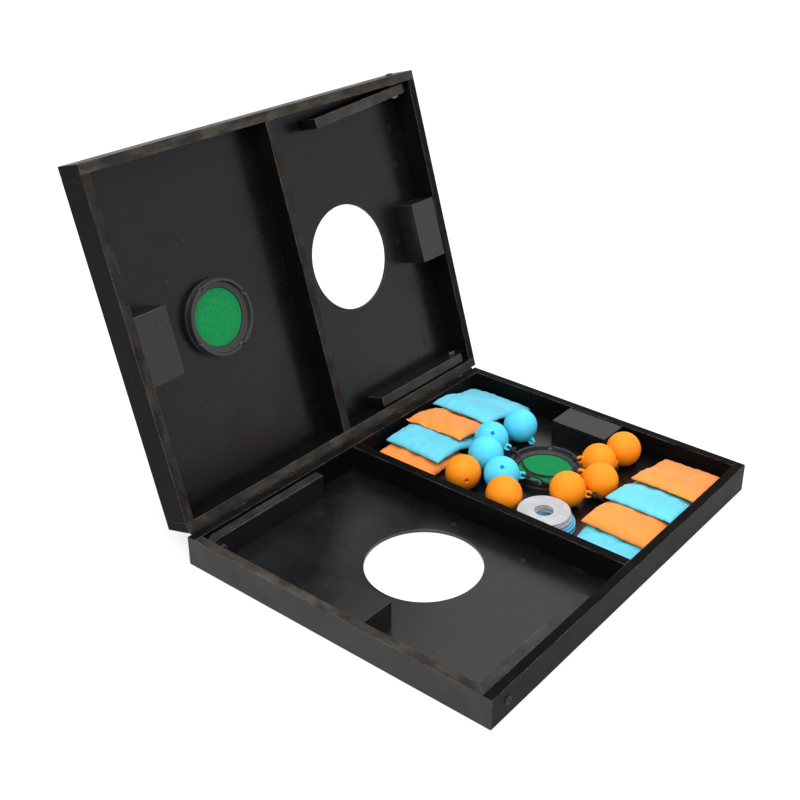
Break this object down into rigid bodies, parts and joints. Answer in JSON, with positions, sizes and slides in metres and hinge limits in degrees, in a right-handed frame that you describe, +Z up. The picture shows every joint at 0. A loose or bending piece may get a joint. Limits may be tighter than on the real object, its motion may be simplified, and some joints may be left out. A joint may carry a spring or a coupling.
{
  "type": "folding lawn game set",
  "caption": "Folding two-tray game case with a bag hole, felt-lined washer cup and folding legs in each tray; the base stores bean bags, corded balls and washers.",
  "frame": {"origin": "middle of the base tray's underside, the face that rests on the ground", "axes": "+Z up, +X along the hinge towards the cup half of the base, +Y from the front wall to the hinge"},
  "size_m": [0.6045, 0.645, 0.4934],
  "materials": {
    "panel_black": "satin black lacquer",
    "board_black": "worn satin black lacquer",
    "block_black": "matt dark grey paint",
    "leg_black": "satin black lacquer",
    "cup_black": "fine moulded texture",
    "felt_green": "felt",
    "bolt_black": "black oxide",
    "nut_steel": "plain",
    "spacer_steel": "plain",
    "hinge_black": "black oxide",
    "screw_black": "black oxide",
    "pin_steel": "plain",
    "cord_black": "braided",
    "rubber_blue": "matt",
    "rubber_orange": "matt",
    "washer_blue": "satin",
    "washer_grey": "satin",
    "cloth_blue": "plain weave",
    "cloth_orange": "plain weave"
  },
  "bodies": {
    "base": {"base_front_wall": "board_black", "base_hinge_wall": "board_black", "base_hole_end_wall": "board_black", "base_cup_end_wall": "board_black", "base_divider": "board_black", "base_panel": "panel_black", "base_hole_end_block": "block_black", "base_cup_end_block": "block_black", "base_cup": "cup_black", "base_felt": "felt_green", "base_leg_bolts": "bolt_black", "base_leg_spacers": "spacer_steel", "base_leg_nuts": "nut_steel", "base_hinge_leaf": "hinge_black", "base_hinge_screws": "screw_black", "hinge_pin": "pin_steel", "blue_ball_1": "rubber_blue", "blue_ball_2": "rubber_blue", "blue_ball_3": "rubber_blue", "blue_ball_4": "rubber_blue", "orange_ball_1": "rubber_orange", "orange_ball_2": "rubber_orange", "orange_ball_3": "rubber_orange", "orange_ball_4": "rubber_orange", "orange_ball_5": "rubber_orange", "orange_ball_6": "rubber_orange", "blue_ball_cord": "cord_black", "orange_ball_cord": "cord_black", "blue_washers": "washer_blue", "grey_washers": "washer_grey", "hinge_bag_1": "cloth_orange", "hinge_bag_2": "cloth_blue", "hinge_bag_3": "cloth_orange", "hinge_bag_4": "cloth_blue", "front_bag_1": "cloth_blue", "front_bag_2": "cloth_orange", "front_bag_3": "cloth_blue", "front_bag_4": "cloth_orange"},
    "lid": {"lid_front_wall": "board_black", "lid_hinge_wall": "board_black", "lid_hole_end_wall": "board_black", "lid_cup_end_wall": "board_black", "lid_divider": "board_black", "lid_panel": "panel_black", "lid_hole_end_block": "block_black", "lid_cup_end_block": "block_black", "lid_cup": "cup_black", "lid_felt": "felt_green", "lid_leg_bolts": "bolt_black", "lid_leg_spacers": "spacer_steel", "lid_leg_nuts": "nut_steel", "lid_hinge_leaf": "hinge_black", "lid_hinge_screws": "screw_black"},
    "base_front_leg": {"base_front_leg": "leg_black"},
    "base_hinge_leg": {"base_hinge_leg": "leg_black"},
    "lid_outer_leg": {"lid_outer_leg": "leg_black"},
    "lid_hinge_leg": {"lid_hinge_leg": "leg_black"}
  },
  "joints": [
    {"name": "lid_hinge", "type": "hinge", "parent": "base", "child": "lid", "pos_m": [0, 0.2363, 0.04125], "axis": [-1, 0, 0], "range_deg": [-106.3, 73.7]},
    {"name": "base_front_leg_pivot", "type": "hinge", "parent": "base", "child": "base_front_leg", "pos_m": [-0.2705, -0.2128, 0.0216], "axis": [0, -1, 0], "range_deg": [0, 90]},
    {"name": "base_hinge_leg_pivot", "type": "hinge", "parent": "base", "child": "base_hinge_leg", "pos_m": [-0.2705, 0.2128, 0.0216], "axis": [0, -1, 0], "range_deg": [0, 90]},
    {"name": "lid_outer_leg_pivot", "type": "hinge", "parent": "lid", "child": "lid_outer_leg", "pos_m": [0.275, 0.38121, 0.46678], "axis": [-0.0698, 0.28, 0.9575], "range_deg": [0, 90]},
    {"name": "lid_hinge_leg_pivot", "type": "hinge", "parent": "lid", "child": "lid_hinge_leg", "pos_m": [0.275, 0.26176, 0.05829], "axis": [0, 0.2807, 0.9598], "range_deg": [0, 90]}
  ]
}
